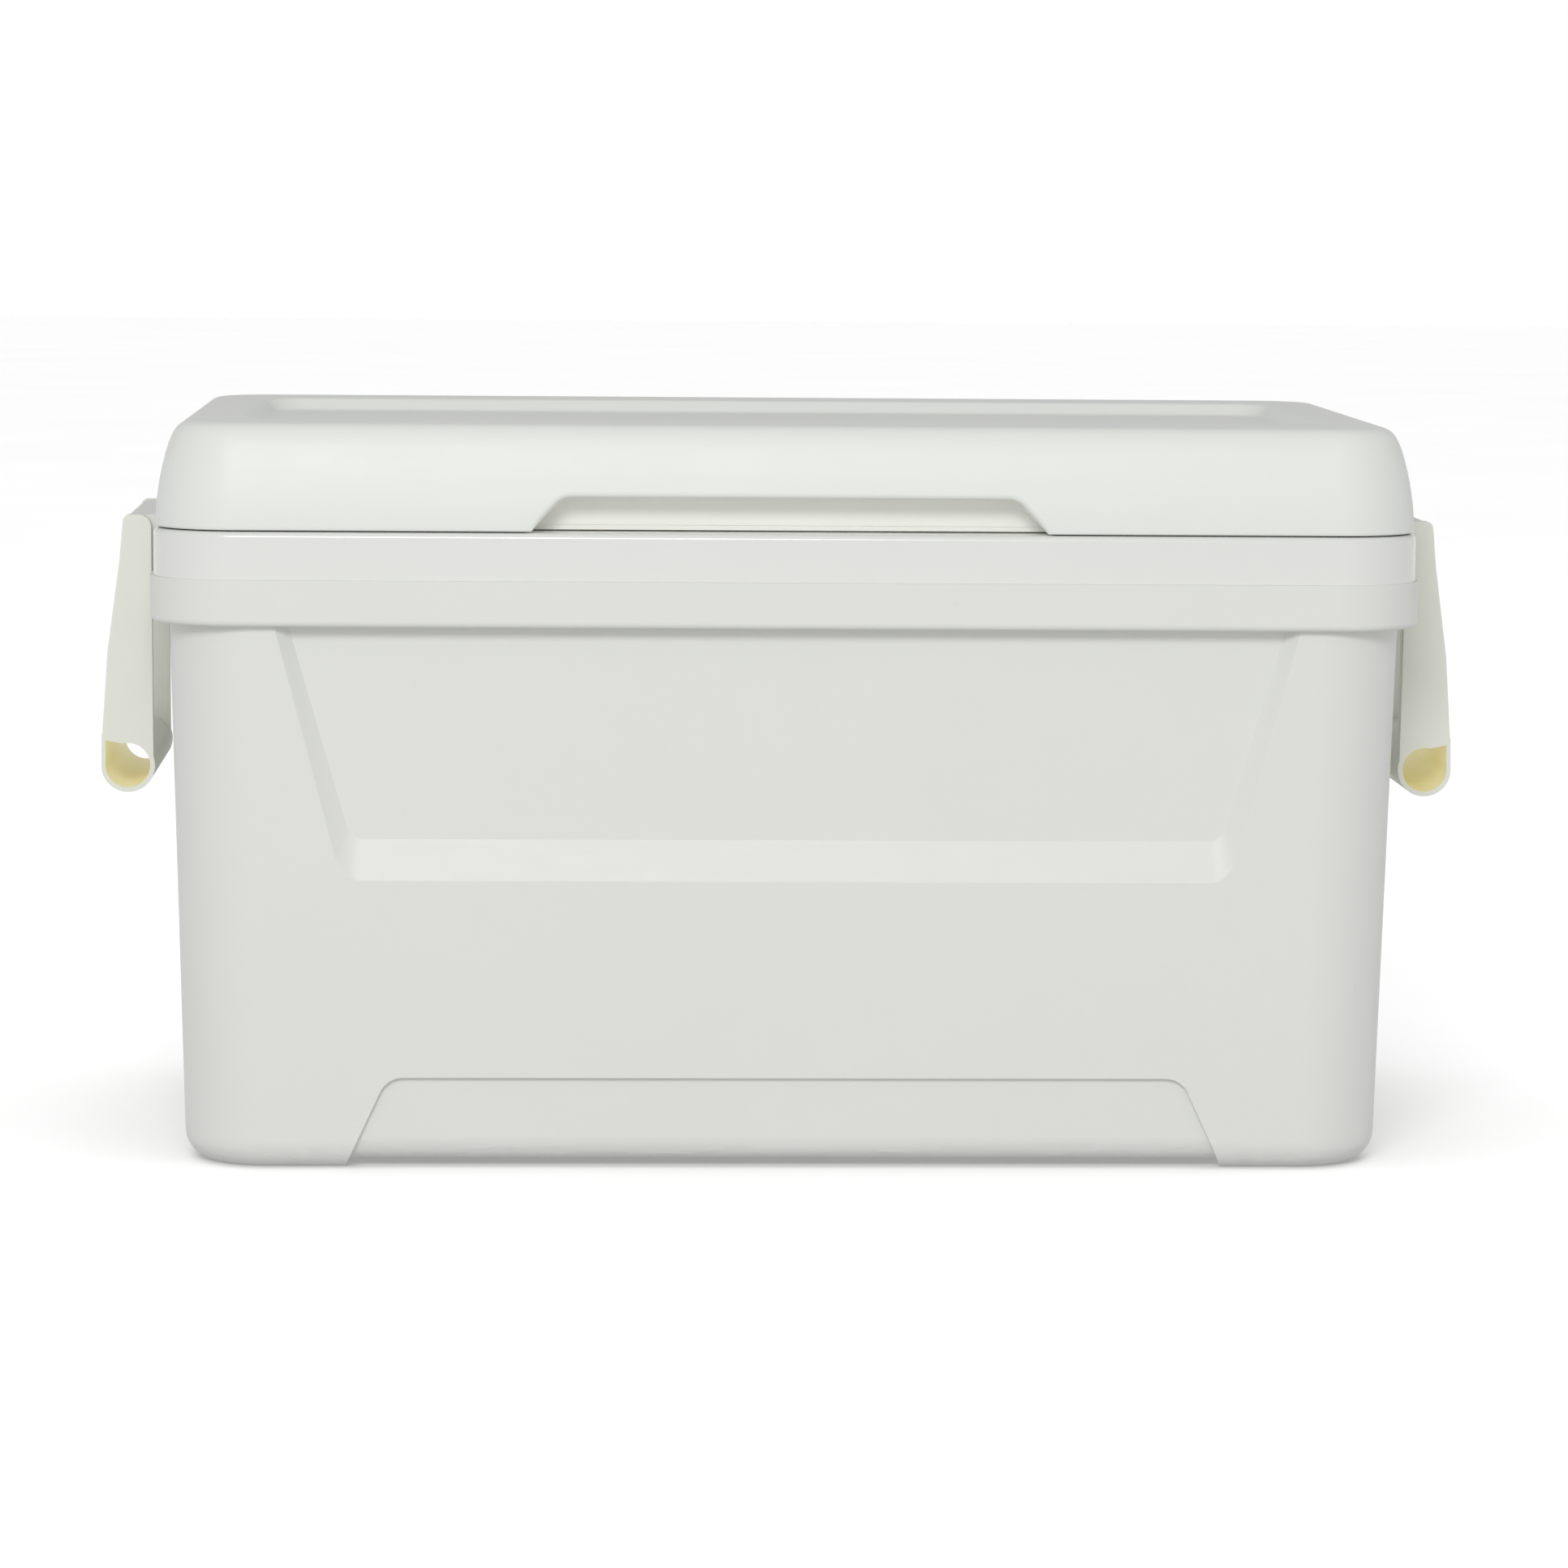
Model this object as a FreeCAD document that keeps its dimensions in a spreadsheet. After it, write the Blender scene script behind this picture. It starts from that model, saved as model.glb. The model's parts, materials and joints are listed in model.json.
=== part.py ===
import FreeCAD, Part
import math
import os
from FreeCAD import Vector, Placement, Rotation

# Hinged-lid cooler chest. Millimetres, +Z up, +X along the length, -Y is the front.
# Every sketch and primitive is laid out about the middle of the collar (Y = 0 there);
# each finished piece then gets the same small Placement in Y, so that the origin is at
# the middle of the underside of the whole chest, hinges included.

doc = FreeCAD.newDocument("CoolerChest")

# ------------------------------------------------------------------ driving dimensions
CELLS = [
    ("shift_back", 4.45, "from the middle of the collar to the middle of the whole depth"),
    ("wall", 2.8, "outer shell wall"),
    ("foot_w", 564.8, "body length at the floor"),
    ("foot_d", 330.0, "body depth at the floor"),
    ("foot_r", 40.0, "body corner radius at the floor"),
    ("body_w", 578.6, "body length under the band"),
    ("body_d", 342.0, "body depth under the band"),
    ("body_r", 42.0, "body corner radius under the band"),
    ("base_r", 14.0, "rounding along the bottom edge"),
    ("band_z0", 255.3, "underside of the band"),
    ("band_z1", 277.0, "top of the band"),
    ("band_w", 596.0, "band length"),
    ("band_d", 353.6, "band depth"),
    ("band_r", 43.0, "band corner radius"),
    ("band_edge", 3.0, "rounding of the band's lower edge"),
    ("arch_x0", 206.6, "half length of the arch at the floor"),
    ("arch_x1", 186.4, "half length of the arch at its top"),
    ("arch_top", 43.6, "height of the arch"),
    ("arch_corner", 12.0, "corner radius of the arch"),
    ("arch_in", 3.0, "set-back of the wall inside the arch"),
    ("arch_lift", 3.6, "underside between the two skids, above the floor"),
    ("arch_base_r", 12.0, "rounding along the bottom edge inside the arch"),
    ("panel_x0", 238.6, "half length of the recessed panel under the band"),
    ("panel_x1", 207.6, "half length of the recessed panel at its lower edge"),
    ("panel_low", 136.6, "lower edge of the recessed panel"),
    ("floor_x0", 232.6, "half length of the panel's floor under the band"),
    ("floor_x1", 203.6, "half length of the panel's floor at its lower edge"),
    ("floor_low", 155.4, "lower edge of the panel's floor"),
    ("panel_in", 6.0, "depth of the recessed panel"),
    ("panel_ro", 30.0, "corner radius of the panel at the surface"),
    ("panel_ri", 16.0, "corner radius of the panel's floor"),
    ("collar_w", 592.8, "collar length"),
    ("collar_d", 350.0, "collar depth"),
    ("collar_r", 40.0, "collar corner radius"),
    ("collar_top", 299.4, "top of the collar"),
    ("collar_edge", 3.0, "rounding of the collar's top edge"),
    ("collar_t", 2.5, "collar wall"),
    ("tub_t", 2.2, "tub wall"),
    ("tub_w1", 545.0, "tub length at the mouth"),
    ("tub_d1", 302.0, "tub depth at the mouth"),
    ("tub_r1", 32.0, "tub corner radius at the mouth"),
    ("tub_w0", 525.0, "tub length at the floor"),
    ("tub_d0", 284.0, "tub depth at the floor"),
    ("tub_r0", 28.0, "tub corner radius at the floor"),
    ("tub_floor", 24.0, "top of the tub's floor"),
    ("tub_base_r", 18.0, "rounding between the tub's floor and walls"),
    ("lid_z0", 299.9, "lower edge of the lid"),
    ("lid_zm", 320.0, "height at which the lid's side starts to lean in"),
    ("lid_z1", 349.0, "top of the lid"),
    ("lid_w0", 590.6, "lid length at its lower edge"),
    ("lid_d0", 349.0, "lid depth at its lower edge"),
    ("lid_r0", 38.0, "lid corner radius at its lower edge"),
    ("lid_wm", 586.8, "lid length at the break"),
    ("lid_dm", 345.2, "lid depth at the break"),
    ("lid_rm", 37.0, "lid corner radius at the break"),
    ("lid_w1", 570.4, "lid length at the top, before rounding"),
    ("lid_d1", 328.8, "lid depth at the top, before rounding"),
    ("lid_r1", 33.0, "lid corner radius at the top, before rounding"),
    ("lid_edge", 8.0, "rounding along the lid's top edge"),
    ("lid_t", 2.6, "lid wall"),
    ("dish_w", 512.0, "length of the dish in the lid's top"),
    ("dish_d", 236.0, "depth of the dish, front to back"),
    ("dish_r", 22.0, "corner radius of the dish"),
    ("dish_run", 6.0, "run of the dish's sloping wall"),
    ("dish_in", 6.0, "how far the dish is sunk"),
    ("notch_x0", 120.0, "half length of the finger notch at the lid's lower edge"),
    ("notch_x1", 105.4, "half length of the finger notch at its top"),
    ("notch_top", 315.6, "top of the finger notch"),
    ("notch_back", 154.5, "inner wall of the finger notch, from the middle"),
    ("notch_r", 10.0, "corner radius of the finger notch"),
    ("panel_t", 2.2, "lid inner panel wall"),
    ("plate_w", 584.6, "lid inner panel length"),
    ("plate_d", 343.0, "lid inner panel depth"),
    ("plate_r", 35.0, "lid inner panel corner radius"),
    ("plug_w", 537.0, "length of the plug that drops into the tub"),
    ("plug_d", 294.0, "depth of the plug, front to back"),
    ("plug_r", 29.0, "corner radius of the plug"),
    ("plug_z0", 286.0, "underside of the plug"),
    ("grip_cx", 313.4, "grip centre, from the middle"),
    ("grip_cz", 179.7, "grip centre height"),
    ("grip_ro", 12.9, "grip outer radius"),
    ("grip_ri", 10.7, "grip bore radius"),
    ("grip_sq", 193.6, "height of the grip bore's square corner"),
    ("arm_y1", 67.5, "outer face of an arm, from the middle"),
    ("arm_y0", 59.5, "inner face of an arm, from the middle"),
    ("arm_in", 302.0, "inboard edge of an arm"),
    ("arm_top", 300.3, "top of an arm"),
    ("arm_xt", 315.2, "outboard edge of an arm at its top"),
    ("arm_xm", 317.2, "outboard edge of an arm at the collar seam"),
    ("arm_zm", 278.0, "height of the collar seam on the arm"),
    ("arm_xl", 323.0, "outboard edge of an arm at mid height"),
    ("arm_zl", 235.0, "mid height of the arm"),
    ("arm_xg", 326.3, "outboard edge of an arm at the grip"),
    ("arm_zg", 186.0, "height at which the outboard edge meets the grip"),
    ("pivot_x", 308.2, "handle pivot, from the middle"),
    ("pivot_z", 289.0, "handle pivot height"),
    ("rod_r", 2.5, "pivot rod radius"),
    ("rod_fit", 0.06, "running clearance of the rod in an arm, on radius"),
    ("rod_half", 64.2, "half length of the pivot rod"),
    ("arm_bore", 64.6, "end of the blind bore in an arm, from the middle"),
    ("brk_y", 59.0, "half length of a handle bracket between the arms"),
    ("brk_x", 315.0, "outboard face of a handle bracket"),
    ("brk_top", 299.9, "top of a handle bracket"),
    ("brk_plate", 301.5, "outboard face of the bracket's screw plate"),
    ("brk_stop", 69.5, "half length of the screw plate, behind the arms"),
    ("brk_low", 257.6, "lower edge of the screw plate"),
    ("brk_screw_y", 40.0, "screws in a bracket, from the middle"),
    ("brk_screw_z", 266.0, "screw height in a bracket"),
    ("hinge_x", 190.0, "middle of a hinge, from the middle"),
    ("hinge_len", 60.0, "length of a hinge"),
    ("knuckle_gap", 24.0, "gap for the lid's knuckle"),
    ("knuckle_len", 23.0, "length of the lid's knuckle"),
    ("pin_y", 181.5, "hinge pin, from the middle"),
    ("pin_z", 300.6, "hinge pin height"),
    ("pin_r", 1.75, "hinge pin radius"),
    ("pin_fit", 0.05, "running clearance of the pin, on radius"),
    ("barrel_r", 4.2, "hinge barrel radius"),
    ("leaf_t", 2.4, "hinge leaf thickness"),
    ("leaf_low", 279.5, "lower edge of a body leaf"),
    ("leaf_high", 318.5, "upper edge of a lid leaf"),
    ("leaf_screw_x", 20.0, "screws in a leaf, from its middle"),
    ("leaf_screw_lo", 286.0, "screw height in a body leaf"),
    ("leaf_screw_hi", 312.6, "screw height in a lid leaf"),
    ("screw_r", 1.6, "screw shank radius"),
    ("screw_len", 10.0, "screw shank length"),
    ("head_r", 3.3, "screw head radius"),
    ("head_t", 1.9, "screw head height"),
    ("cross_w", 0.9, "width of the screw's cross recess"),
    ("cross_len", 3.6, "length of the screw's cross recess"),
    ("cross_in", 1.1, "depth of the screw's cross recess"),
]

dims = doc.addObject("Spreadsheet::Sheet", "Dims")
VALUE = {}
for row, (alias, number, meaning) in enumerate(CELLS, 1):
    dims.set("A%d" % row, alias)
    dims.set("B%d" % row, str(number))
    dims.set("C%d" % row, meaning)
    dims.setAlias("B%d" % row, alias)
    VALUE[alias] = float(number)
doc.recompute()


class Q:
    """A sheet quantity: its number now, and the expression that keeps it bound."""

    def __init__(self, number, text):
        self.v = float(number)
        self.e = text

    def __add__(self, other):
        other = lift(other)
        return Q(self.v + other.v, "(%s + %s)" % (self.e, other.e))

    def __sub__(self, other):
        other = lift(other)
        return Q(self.v - other.v, "(%s - %s)" % (self.e, other.e))

    def __mul__(self, other):
        other = lift(other)
        return Q(self.v * other.v, "(%s * %s)" % (self.e, other.e))

    def __truediv__(self, other):
        other = lift(other)
        return Q(self.v / other.v, "(%s / %s)" % (self.e, other.e))

    def __neg__(self):
        return Q(-self.v, "(0 - %s)" % self.e)


def lift(x):
    return x if isinstance(x, Q) else Q(x, "%.6f" % float(x))


def d(alias):
    return Q(VALUE[alias], "Dims." + alias)


def bind(obj, prop, quantity):
    obj.setExpression(prop, lift(quantity).e)


# ------------------------------------------------------------------ sketch helpers
def free_sketch(name, z=0.0):
    """Sketch on a horizontal plane at height z."""
    z = lift(z)
    sk = doc.addObject("Sketcher::SketchObject", name)
    sk.Placement = Placement(Vector(0, 0, z.v), Rotation())
    bind(sk, "Placement.Base.z", z)
    return sk


def body_sketch(body, role, name, offset=None):
    """Sketch on one of the body's own origin planes, moved along its normal."""
    sk = body.newObject("Sketcher::SketchObject", name)
    plane = [f for f in body.Origin.OriginFeatures if f.Role == role][0]
    sk.AttachmentSupport = [(plane, "")]
    sk.MapMode = "FlatFace"
    if offset is not None:
        offset = lift(offset)
        sk.AttachmentOffset = Placement(Vector(0, 0, offset.v), Rotation())
        bind(sk, "AttachmentOffset.Base.z", offset)
    return sk


def rounded_rect(sk, w, dp, r):
    """Rectangle w by dp centred on the sketch origin, corner radius r."""
    w, dp, r = lift(w), lift(dp), lift(r)
    a, b, c = w.v / 2, dp.v / 2, r.v
    seg = Part.LineSegment
    z = Vector(0, 0, 1)
    lines = [
        seg(Vector(-a + c, -b, 0), Vector(a - c, -b, 0)),
        seg(Vector(a, -b + c, 0), Vector(a, b - c, 0)),
        seg(Vector(a - c, b, 0), Vector(-a + c, b, 0)),
        seg(Vector(-a, b - c, 0), Vector(-a, -b + c, 0)),
    ]
    mids = [Vector(a - c, -b + c, 0), Vector(a - c, b - c, 0), Vector(-a + c, b - c, 0), Vector(-a + c, -b + c, 0)]
    start = [-math.pi / 2, 0.0, math.pi / 2, math.pi]
    ids = [sk.addGeometry(x, False) for x in lines]
    arcs = [sk.addGeometry(Part.ArcOfCircle(Part.Circle(m, z, c), s, s + math.pi / 2), False) for m, s in zip(mids, start)]
    con = Sketcher_constraint
    for i in range(4):
        sk.addConstraint(con("Tangent", ids[i], 2, arcs[i], 1))
        sk.addConstraint(con("Tangent", arcs[i], 2, ids[(i + 1) % 4], 1))
    sk.addConstraint(con("Horizontal", ids[0]))
    sk.addConstraint(con("Vertical", ids[1]))
    sk.addConstraint(con("Horizontal", ids[2]))
    sk.addConstraint(con("Vertical", ids[3]))
    for i in range(1, 4):
        sk.addConstraint(con("Equal", arcs[0], arcs[i]))
    sk.addConstraint(con("Symmetric", arcs[0], 3, arcs[2], 3, -1, 1))
    for label, c_, q in (
        ("Length", con("DistanceX", ids[3], 1, ids[1], 1, w.v), w),
        ("Depth", con("DistanceY", ids[0], 1, ids[2], 1, dp.v), dp),
        ("Radius", con("Radius", arcs[0], r.v), r),
    ):
        k = sk.addConstraint(c_)
        sk.renameConstraint(k, label)
        bind(sk, "Constraints." + label, q)
    return sk


def polygon(sk, points, tag="P"):
    """Closed polygon whose corners are placed by sheet quantities."""
    pts = [(lift(x), lift(y)) for x, y in points]
    n = len(pts)
    ids = []
    for i in range(n):
        p, q = pts[i], pts[(i + 1) % n]
        ids.append(sk.addGeometry(Part.LineSegment(Vector(p[0].v, p[1].v, 0), Vector(q[0].v, q[1].v, 0)), False))
    for i in range(n):
        sk.addConstraint(Sketcher_constraint("Coincident", ids[i], 2, ids[(i + 1) % n], 1))
    for i in range(n):
        for kind, q, label in (("DistanceX", pts[i][0], "%sx%d" % (tag, i)), ("DistanceY", pts[i][1], "%sy%d" % (tag, i))):
            k = sk.addConstraint(Sketcher_constraint(kind, -1, 1, ids[i], 1, q.v))
            sk.renameConstraint(k, label)
            bind(sk, "Constraints." + label, q)
    return sk


def circle(sk, cx, cy, r, tag="C"):
    cx, cy, r = lift(cx), lift(cy), lift(r)
    g = sk.addGeometry(Part.Circle(Vector(cx.v, cy.v, 0), Vector(0, 0, 1), r.v), False)
    for kind, args, q, label in (
        ("DistanceX", (-1, 1, g, 3), cx, tag + "x"),
        ("DistanceY", (-1, 1, g, 3), cy, tag + "y"),
        ("Radius", (g,), r, tag + "r"),
    ):
        k = sk.addConstraint(Sketcher_constraint(kind, *args, q.v))
        sk.renameConstraint(k, label)
        bind(sk, "Constraints." + label, q)
    return sk


import Sketcher
Sketcher_constraint = Sketcher.Constraint


# ------------------------------------------------------------------ feature helpers
def loft(name, *sections):
    o = doc.addObject("Part::Loft", name)
    o.Sections = list(sections)
    o.Solid = True
    o.Ruled = True
    return o


def ring(name, w, dp, r, z):
    return rounded_rect(free_sketch(name, z), w, dp, r)


def cut(name, base, tool):
    o = doc.addObject("Part::Cut", name)
    o.Base = base
    o.Tool = tool
    return o


def fuse(name, *shapes):
    o = doc.addObject("Part::MultiFuse", name)
    o.Shapes = list(shapes)
    return o


def common(name, *shapes):
    o = doc.addObject("Part::MultiCommon", name)
    o.Shapes = list(shapes)
    return o


def rounded(name, base, pick, radius):
    """Part::Fillet on the edges of base that pick() accepts; radius is a number or a pair."""
    doc.recompute()
    o = doc.addObject("Part::Fillet", name)
    o.Base = base
    edges = []
    for i, e in enumerate(base.Shape.Edges, 1):
        if pick(e):
            if isinstance(radius, tuple):
                p = e.valueAt(e.FirstParameter)
                q = e.valueAt(e.LastParameter)
                near_first = radius[2](p) < radius[2](q)
                r1, r2 = (radius[0], radius[1]) if near_first else (radius[1], radius[0])
                edges.append((i, r1, r2))
            else:
                edges.append((i, radius, radius))
    if not edges:
        raise RuntimeError("no edges picked for " + name)
    o.Edges = edges
    return o


def at_z(z, tol=0.02):
    return lambda e: all(abs(v.Point.z - z) < tol for v in e.Vertexes) and abs(e.CenterOfMass.z - z) < tol


def extrude(name, sketch, direction, length, back=0.0):
    o = doc.addObject("Part::Extrusion", name)
    o.Base = sketch
    o.DirMode = "Custom"
    o.Dir = direction
    o.Solid = True
    o.LengthFwd = lift(length).v
    o.LengthRev = lift(back).v
    bind(o, "LengthFwd", length)
    bind(o, "LengthRev", back)
    return o


def box(name, x, y, z, lx, ly, lz):
    o = doc.addObject("Part::Box", name)
    for prop, q in (("Length", lx), ("Width", ly), ("Height", lz)):
        setattr(o, prop, lift(q).v)
        bind(o, prop, q)
    o.Placement = Placement(Vector(lift(x).v, lift(y).v, lift(z).v), Rotation())
    for prop, q in (("x", x), ("y", y), ("z", z)):
        bind(o, "Placement.Base." + prop, q)
    return o


def cylinder(name, r, length, x, y, z, rot):
    o = doc.addObject("Part::Cylinder", name)
    o.Radius = lift(r).v
    o.Height = lift(length).v
    bind(o, "Radius", r)
    bind(o, "Height", length)
    o.Placement = Placement(Vector(lift(x).v, lift(y).v, lift(z).v), rot)
    for prop, q in (("x", x), ("y", y), ("z", z)):
        bind(o, "Placement.Base." + prop, q)
    return o


def mirror_y(name, source):
    o = doc.addObject("Part::Mirroring", name)
    o.Source = source
    o.Base = Vector(0, 0, 0)
    o.Normal = Vector(0, 1, 0)
    return o


TO_BACK = Rotation(Vector(1, 0, 0), -90)      # cylinder axis along +Y
TO_RIGHT = Rotation(Vector(0, 1, 0), 90)      # cylinder axis along +X
NODES = []


def finish(obj, label):
    """Name a finished piece and move it into the chest's own frame."""
    obj.Label = label
    obj.Placement = Placement(Vector(0, -VALUE["shift_back"], 0), Rotation())
    bind(obj, "Placement.Base.y", -d("shift_back"))
    NODES.append(obj)
    return obj


# ------------------------------------------------------------------ outer shell
# The body is a drafted rounded box. lean is its draft per millimetre of height.
half_lean = (d("body_d") - d("foot_d")) / (d("band_z0") * 2)
lean_angle = math.degrees(math.atan(half_lean.v))
wall = d("wall")


def body_block(tag, z0, inset_x, inset_y, corner, z1=None):
    """Drafted body block from height z0 up to the band, inset from the outer faces."""
    z1 = d("band_z0") if z1 is None else z1
    wx = (d("body_w") - d("foot_w")) / d("band_z0")
    wy = (d("body_d") - d("foot_d")) / d("band_z0")
    low = ring(tag + "_low", d("foot_w") + wx * z0 - inset_x * 2, d("foot_d") + wy * z0 - inset_y * 2, d("foot_r") - corner, z0)
    high = ring(tag + "_high", d("foot_w") + wx * z1 - inset_x * 2, d("foot_d") + wy * z1 - inset_y * 2, d("body_r") - corner, z1)
    return loft(tag, low, high)


def arch_prism(tag, grow):
    """Prism right through the chest under the arch; grow is the offset for the inner face."""
    slope = (d("arch_x0") - d("arch_x1")) / d("arch_top")
    lean = math.sqrt(1.0 + slope.v ** 2)
    side = lift(grow) * lean
    top = d("arch_top") + grow
    sk = doc.addObject("Sketcher::SketchObject", tag + "_outline")
    sk.Placement = Placement(Vector(0, 0, 0), Rotation(Vector(1, 0, 0), 90))
    x0 = d("arch_x0") + slope * 5.0 + side
    x1 = d("arch_x1") - slope * grow + side
    polygon(sk, [(-x0, -5.0), (x0, -5.0), (x1, top), (-x1, top)])
    block = extrude(tag + "_block", sk, Vector(0, 1, 0), 230.0, 230.0)
    r = VALUE["arch_corner"] + lift(grow).v
    return rounded(tag, block, lambda e: all(abs(v.Point.z - top.v) < 0.01 for v in e.Vertexes) and abs(abs(e.CenterOfMass.x) - x1.v) < 0.01, r)


full = rounded("body_full", body_block("body_solid", lift(0.0), lift(0.0), lift(0.0), lift(0.0)), at_z(0.0), VALUE["base_r"])
inner_arch = rounded("body_arch", body_block("body_arch_solid", d("arch_lift"), lift(0.0), d("arch_in"), lift(0.0)), at_z(VALUE["arch_lift"]), VALUE["arch_base_r"])
prism = arch_prism("arch_cut", lift(0.0))
body_out = fuse("body_out", cut("body_feet", full, prism), common("body_mid", inner_arch, prism))

# the same form, one wall thickness inside
past = d("band_z0") + wall + 6.0   # the cavity runs on up into the hollow of the band
full_in = rounded("cavity_full", body_block("cavity_solid", wall, wall, wall, wall, past), at_z(VALUE["wall"]), VALUE["base_r"] - VALUE["wall"])
arch_in = rounded("cavity_arch", body_block("cavity_arch_solid", d("arch_lift") + wall, wall, d("arch_in") + wall, wall, past),
                  at_z(VALUE["arch_lift"] + VALUE["wall"]), VALUE["arch_base_r"] - VALUE["wall"])
prism_in = arch_prism("arch_cavity", wall)
body_in = fuse("body_in", cut("cavity_feet", full_in, prism_in), common("cavity_mid", arch_in, prism_in))


def panel_tool(tag, grow):
    """Recessed-panel tool, with sloping sides, on the leaning front wall."""
    depth = d("panel_in")
    run_x = d("panel_x0") - d("floor_x0")
    run_z = d("floor_low") - d("panel_low")
    kx = math.sqrt(1 + (run_x.v / depth.v) ** 2)
    kz = math.sqrt(1 + (run_z.v / depth.v) ** 2)
    slope = (d("panel_x0") - d("panel_x1")) / (d("band_z0") - d("panel_low"))

    def outline(name, level):
        # level: depth below the wall surface (negative is outside it)
        f = (depth - level) / depth
        sk = doc.addObject("Sketcher::SketchObject", name)
        turn = Rotation(Vector(1, 0, 0), 90 + lean_angle)
        normal = turn.multVec(Vector(0, 0, 1))
        base = Vector(0, -VALUE["body_d"] / 2, VALUE["band_z0"]) - normal * level
        sk.Placement = Placement(base, turn)
        gx = lift(grow) * kx
        low = d("floor_low") - run_z * f - lift(grow) * kz - d("band_z0")
        top = lift(12.0)
        x_top = d("floor_x0") + run_x * f + gx + slope * 12.0
        x_low = d("floor_x1") + (d("panel_x1") - d("floor_x1")) * f + gx - slope * lift(grow) * (kz - 1.0)
        polygon(sk, [(-x_low, low), (x_low, low), (x_top, top), (-x_top, top)])
        return sk

    outside = 5.0
    deep = outline(tag + "_floor", VALUE["panel_in"] + lift(grow).v)
    out = outline(tag + "_mouth", -outside)
    block = loft(tag + "_block", deep, out)
    slope_r = (VALUE["panel_ro"] - VALUE["panel_ri"]) / VALUE["panel_in"]
    r_deep = VALUE["panel_ri"] + (lift(grow).v if lift(grow).v else 0.0)
    r_out = VALUE["panel_ro"] + slope_r * outside + (lift(grow).v if lift(grow).v else 0.0)

    def corner(e):
        p, q = e.Vertexes[0].Point, e.Vertexes[-1].Point
        return abs(p.y - q.y) > 3.0 and max(p.z, q.z) < 200.0

    return rounded(tag, block, corner, (r_out, r_deep, lambda p: p.y))


panel_front = panel_tool("panel_front", 0.0)
panel_back = mirror_y("panel_back", panel_front)
panel_front_in = panel_tool("panel_front_in", VALUE["wall"])
panel_back_in = mirror_y("panel_back_in", panel_front_in)

body_cut = cut("body_recessed", cut("body_recessed_front", body_out, panel_front), panel_back)
cavity_cut = cut("cavity_recessed", cut("cavity_recessed_front", body_in, panel_front_in), panel_back_in)

band = rounded("band", loft("band_solid", ring("band_low", d("band_w"), d("band_d"), d("band_r"), d("band_z0")),
                            ring("band_high", d("band_w"), d("band_d"), d("band_r"), d("band_z1"))), at_z(VALUE["band_z0"]), VALUE["band_edge"])
band_in = loft("band_cavity", ring("band_in_low", d("band_w") - wall * 2, d("band_d") - wall * 2, d("band_r") - wall, d("band_z0") + wall),
               ring("band_in_high", d("band_w") - wall * 2, d("band_d") - wall * 2, d("band_r") - wall, d("band_z1")))
shell_form = fuse("shell_form", body_cut, band)
cavity = fuse("cavity", cavity_cut, band_in)
shell_hollow = cut("shell_hollow", shell_form, cavity)

# ------------------------------------------------------------------ inner liner: tub and collar
ct, tt = d("collar_t"), d("tub_t")
collar_block = rounded("collar_block", loft("collar_solid", ring("collar_low", d("collar_w"), d("collar_d"), d("collar_r"), d("band_z1")),
                                            ring("collar_high", d("collar_w"), d("collar_d"), d("collar_r"), d("collar_top"))),
                       at_z(VALUE["collar_top"]), VALUE["collar_edge"])
channel = loft("collar_channel", ring("channel_low", d("collar_w") - ct * 2, d("collar_d") - ct * 2, d("collar_r") - ct, d("band_z1")),
               ring("channel_high", d("collar_w") - ct * 2, d("collar_d") - ct * 2, d("collar_r") - ct, d("collar_top") - ct))
tub_out = rounded("tub_outside", loft("tub_out_solid", ring("tub_out_low", d("tub_w0") + tt * 2, d("tub_d0") + tt * 2, d("tub_r0") + tt, d("tub_floor") - tt),
                                      ring("tub_out_high", d("tub_w1") + tt * 2, d("tub_d1") + tt * 2, d("tub_r1") + tt, d("collar_top"))),
                  at_z(VALUE["tub_floor"] - VALUE["tub_t"]), VALUE["tub_base_r"] + VALUE["tub_t"])
tub_in = rounded("tub_inside", loft("tub_in_solid", ring("tub_in_low", d("tub_w0"), d("tub_d0"), d("tub_r0"), d("tub_floor")),
                                    ring("tub_in_high", d("tub_w1"), d("tub_d1"), d("tub_r1"), d("collar_top"))),
                 at_z(VALUE["tub_floor"]), VALUE["tub_base_r"])
liner_form = cut("liner_form", fuse("liner_solid", cut("collar_shell", collar_block, channel), tub_out), tub_in)

# ------------------------------------------------------------------ screws
# Pan-head screws with a cross recess. Each group of like screws is one piece of the list,
# as a compound of separate solids; the matching plain shanks are the holes in the walls.
screw_holes = {"shell": [], "liner": [], "foam": [], "lid": []}


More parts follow.
